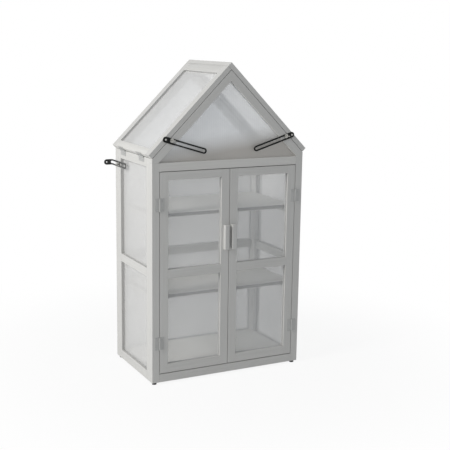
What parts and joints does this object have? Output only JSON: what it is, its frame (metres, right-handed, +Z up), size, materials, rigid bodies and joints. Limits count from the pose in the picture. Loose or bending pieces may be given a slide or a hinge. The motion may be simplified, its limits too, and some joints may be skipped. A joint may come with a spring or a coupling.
{
  "type": "mini greenhouse",
  "caption": "Wooden mini greenhouse cabinet with polycarbonate panes, double doors, shelves and a gabled roof whose halves open on slotted stays.",
  "frame": {"origin": "on the floor under the centre of the overall footprint", "axes": "+Z up, the doors face -Y, +X is the right-hand side seen from the front"},
  "size_m": [0.777, 0.47, 1.33],
  "materials": {
    "painted_wood": "satin",
    "inner_wood": "satin",
    "polycarbonate": "gloss",
    "painted_steel": "satin",
    "black_steel": "satin",
    "bright_steel": "satin",
    "black_plastic": "matte"
  },
  "bodies": {
    "cabinet": {"front_left_post": "painted_wood", "front_right_post": "painted_wood", "rear_left_post": "painted_wood", "rear_right_post": "painted_wood", "front_top_rail": "painted_wood", "front_bottom_rail": "painted_wood", "left_top_rail": "painted_wood", "left_mid_rail": "painted_wood", "left_bottom_rail": "painted_wood", "right_top_rail": "painted_wood", "right_mid_rail": "painted_wood", "right_bottom_rail": "painted_wood", "rear_top_rail": "painted_wood", "rear_mid_rail": "painted_wood", "rear_bottom_rail": "painted_wood", "front_gable_rafters": "painted_wood", "rear_gable_rafters": "painted_wood", "gable_panes": "polycarbonate", "side_panes": "polycarbonate", "rear_panes": "polycarbonate", "floor_board": "inner_wood", "lower_shelf": "inner_wood", "upper_shelf": "inner_wood", "battens": "inner_wood", "door_stop": "inner_wood", "feet": "black_plastic", "fixed_hinge_leaves": "painted_steel", "wing_bolts": "bright_steel"},
    "left_door": {"left_door_hinge_stile": "painted_wood", "left_door_meeting_stile": "painted_wood", "left_door_top_rail": "painted_wood", "left_door_mid_rail": "painted_wood", "left_door_bottom_rail": "painted_wood", "left_door_panes": "polycarbonate", "left_door_handle": "painted_wood", "left_door_hinge_leaves": "painted_steel"},
    "right_door": {"right_door_hinge_stile": "painted_wood", "right_door_meeting_stile": "painted_wood", "right_door_top_rail": "painted_wood", "right_door_mid_rail": "painted_wood", "right_door_bottom_rail": "painted_wood", "right_door_panes": "polycarbonate", "right_door_handle": "painted_wood", "right_door_hinge_leaves": "painted_steel"},
    "left_roof": {"left_roof_front_rafter": "painted_wood", "left_roof_rear_rafter": "painted_wood", "left_roof_ridge_rail": "painted_wood", "left_roof_eave_rail": "painted_wood", "left_roof_pane": "polycarbonate", "left_roof_hinge_leaves": "painted_steel"},
    "right_roof": {"right_roof_front_rafter": "painted_wood", "right_roof_rear_rafter": "painted_wood", "right_roof_ridge_rail": "painted_wood", "right_roof_eave_rail": "painted_wood", "right_roof_pane": "polycarbonate", "right_roof_hinge_leaves": "painted_steel"},
    "left_stay": {"left_roof_stay": "black_steel"},
    "right_stay": {"right_roof_stay": "black_steel"},
    "left_bracket": {"left_wall_bracket": "black_steel"},
    "right_bracket": {"right_wall_bracket": "black_steel"}
  },
  "joints": [
    {"name": "left_door_hinge", "type": "hinge", "parent": "cabinet", "child": "left_door", "pos_m": [-0.317, -0.2202, 0.4715], "axis": [0, 0, -1], "range_deg": [0, 170]},
    {"name": "right_door_hinge", "type": "hinge", "parent": "cabinet", "child": "right_door", "pos_m": [0.317, -0.2202, 0.4715], "axis": [0, 0, 1], "range_deg": [0, 170]},
    {"name": "left_roof_hinge", "type": "hinge", "parent": "cabinet", "child": "left_roof", "pos_m": [-0.3532, -0.012, 0.95039], "axis": [0, -1, 0], "range_deg": [0, 45]},
    {"name": "right_roof_hinge", "type": "hinge", "parent": "cabinet", "child": "right_roof", "pos_m": [0.3532, -0.012, 0.95039], "axis": [0, 1, 0], "range_deg": [0, 45]},
    {"name": "left_stay_pivot", "type": "hinge", "parent": "left_roof", "child": "left_stay", "pos_m": [-0.29202, -0.2185, 1.02596], "axis": [0, 1, 0], "range_deg": [0, 44.8]},
    {"name": "right_stay_pivot", "type": "hinge", "parent": "right_roof", "child": "right_stay", "pos_m": [0.29202, -0.2185, 1.02596], "axis": [0, -1, 0], "range_deg": [0, 44.8]},
    {"name": "left_bracket_slide", "type": "slide", "parent": "cabinet", "child": "left_bracket", "axis": [0, 1, 0], "range_m": [-0.04, 0.065]},
    {"name": "right_bracket_slide", "type": "slide", "parent": "cabinet", "child": "right_bracket", "axis": [0, 1, 0], "range_m": [-0.04, 0.065]}
  ],
  "couplings": [
    {"joint": "left_stay_pivot", "follows": "left_roof_hinge", "ratio": 0.99},
    {"joint": "right_stay_pivot", "follows": "right_roof_hinge", "ratio": 0.99}
  ]
}
